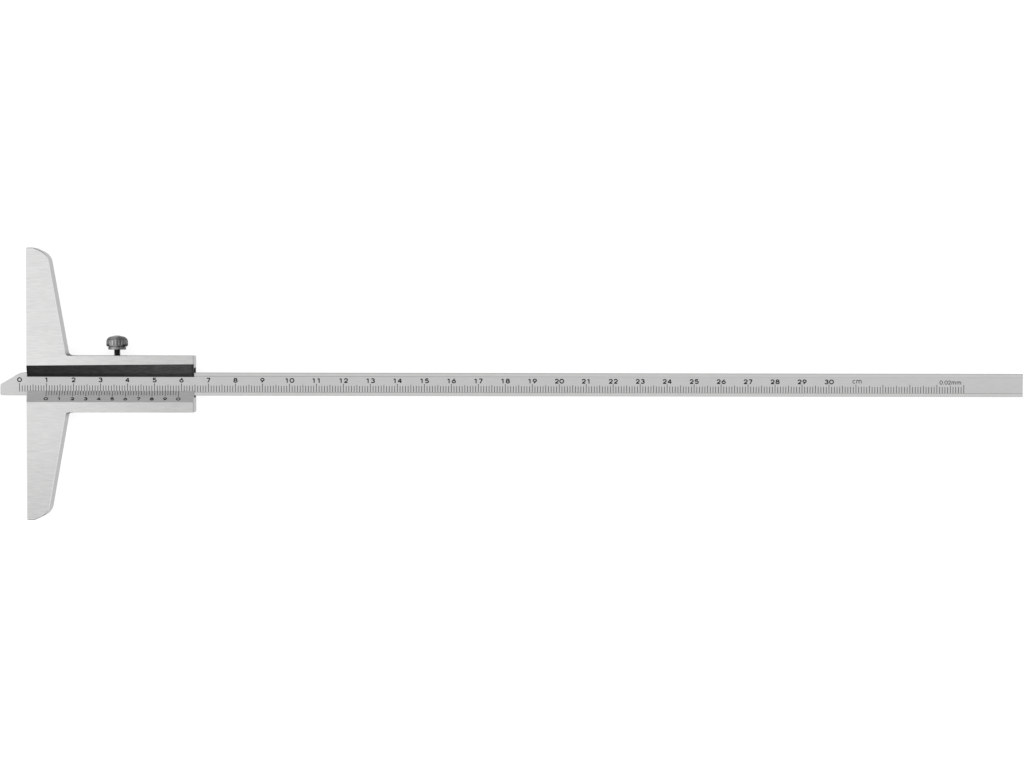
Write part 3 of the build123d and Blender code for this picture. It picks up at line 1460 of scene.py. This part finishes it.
# ---- studio
@dataclass(frozen=True)
class Studio:
    """White floor, soft light and the camera of the photograph."""

    camera_place: Triple = (178.588, 28.210, 879.838)
    camera_lean: Triple = (0.03181, 0.00117, -0.00183)
    focal_pixels: float = 2369.26
    picture_width: int = 1024
    sensor: float = 36.0
    clip: Pair = (0.01, 100.0)
    floor_place: Triple = (177.0, 0.0, -4.02)
    floor_size: float = 24000.0
    floor_shown: float = 0.3
    floor_glow: float = 0.84
    floor_paint: float = 0.85
    room_light: float = 0.85
    lamp_size: float = 1400.0
    lamp_target: Triple = (60.0, 0.0, 0.0)

    def build(self) -> None:
        """Set up the floor, the room, the lamps and the camera."""
        self.floor()
        self.room()
        self.lamp("key_softbox", (-1000.0, 150.0, 900.0), 2.0)
        self.lamp("fill_softbox", (1400.0, -150.0, 1000.0), 1.0)
        self.camera()

    @staticmethod
    def seen_directly(bench: ShaderBench) -> Signal:
        """Tell what the camera, a reflection or glass shows from what only lights.

        Args:
            bench: The nodes of the floor or the room.

        Returns:
            1 for what is shown and 0 for what lights.
        """
        path = bench.node("ShaderNodeLightPath", output="Is Camera Ray")
        outputs = path.socket.node.outputs
        others = [Signal(bench, outputs[f"Is {kind} Ray"]) for kind in ("Glossy", "Transmission")]
        return either(path, *others)

    def floor(self) -> None:
        """Lay the white floor, which keeps a faint shadow and hides nothing from below."""
        put_down_all()
        bpy.ops.mesh.primitive_plane_add(size=self.floor_size * MM, location=Vector(self.floor_place) * MM)
        floor = settle(bpy.context.object)
        floor.name = "white_floor"
        bench = ShaderBench.of("white_floor_paint")
        seen = self.seen_directly(bench)
        white = bench.node("ShaderNodeBsdfDiffuse", None, {"Color": grey(self.floor_shown)})
        paint = bench.node("ShaderNodeBsdfDiffuse", None, {"Color": grey(self.floor_paint)})
        glow = bench.node("ShaderNodeEmission", None, {"Color": grey(1.0), "Strength": self.floor_glow})
        shown = bench.node("ShaderNodeAddShader", None, {0: white, 1: glow})
        upper = bench.node("ShaderNodeMixShader", None, {0: seen, 1: paint, 2: shown})
        under = bench.node("ShaderNodeNewGeometry", output="Backfacing")
        clear = bench.node("ShaderNodeBsdfTransparent")
        dress(floor, bench.finish(bench.node("ShaderNodeMixShader", None, {0: under, 1: upper, 2: clear})))

    def room(self) -> None:
        """Light the room evenly, and show it white."""
        world = bpy.data.worlds.new("white_room")
        bpy.context.scene.world = world
        bench = ShaderBench(world)
        strength = choose(self.seen_directly(bench), 1.0, self.room_light)
        light = bench.node("ShaderNodeBackground", None, {"Color": grey(1.0), "Strength": strength})
        bench.node("ShaderNodeOutputWorld", None, {"Surface": light})

    def lamp(self, name: str, place: Triple, watts: float) -> None:
        """Hang one square soft lamp, turned to the gauge.

        Args:
            name: The lamp's name.
            place: Where it hangs, in millimetres.
            watts: Its power.
        """
        put_down_all()
        bpy.ops.object.light_add(type="AREA", location=Vector(place) * MM)
        lamp = bpy.context.object
        lamp.name = name
        lamp.data.shape = "SQUARE"
        lamp.data.size = self.lamp_size * MM
        lamp.data.energy = watts
        way = Vector(self.lamp_target) * MM - lamp.location
        lamp.rotation_euler = way.to_track_quat("-Z", "Y").to_euler()

    def camera(self) -> None:
        """Stand the camera where the photograph was taken from."""
        put_down_all()
        bpy.ops.object.camera_add(location=Vector(self.camera_place) * MM)
        camera = bpy.context.object
        camera.name = "camera"
        camera.rotation_mode = "ZYX"
        camera.rotation_euler = tuple(-angle for angle in self.camera_lean)
        camera.data.sensor_width = self.sensor
        camera.data.lens = self.focal_pixels * self.sensor / self.picture_width
        camera.data.clip_start, camera.data.clip_end = self.clip
        bpy.context.scene.camera = camera


def main() -> None:
    """Build the gauge and its studio, and log each new piece and its faces."""
    logging.basicConfig(level=logging.INFO, format="%(name)s: %(message)s")
    bpy.context.scene.view_settings.view_transform = "Standard"
    filling = LineEnamel()
    BaseAndSlider().build(FrameSteel(), filling)
    GraduatedBeam().build(BeamSteel(), filling)
    ClampScrew().build(BlackenedSteel())
    Studio().build()
    put_down_all()


if __name__ == "__main__":
    main()
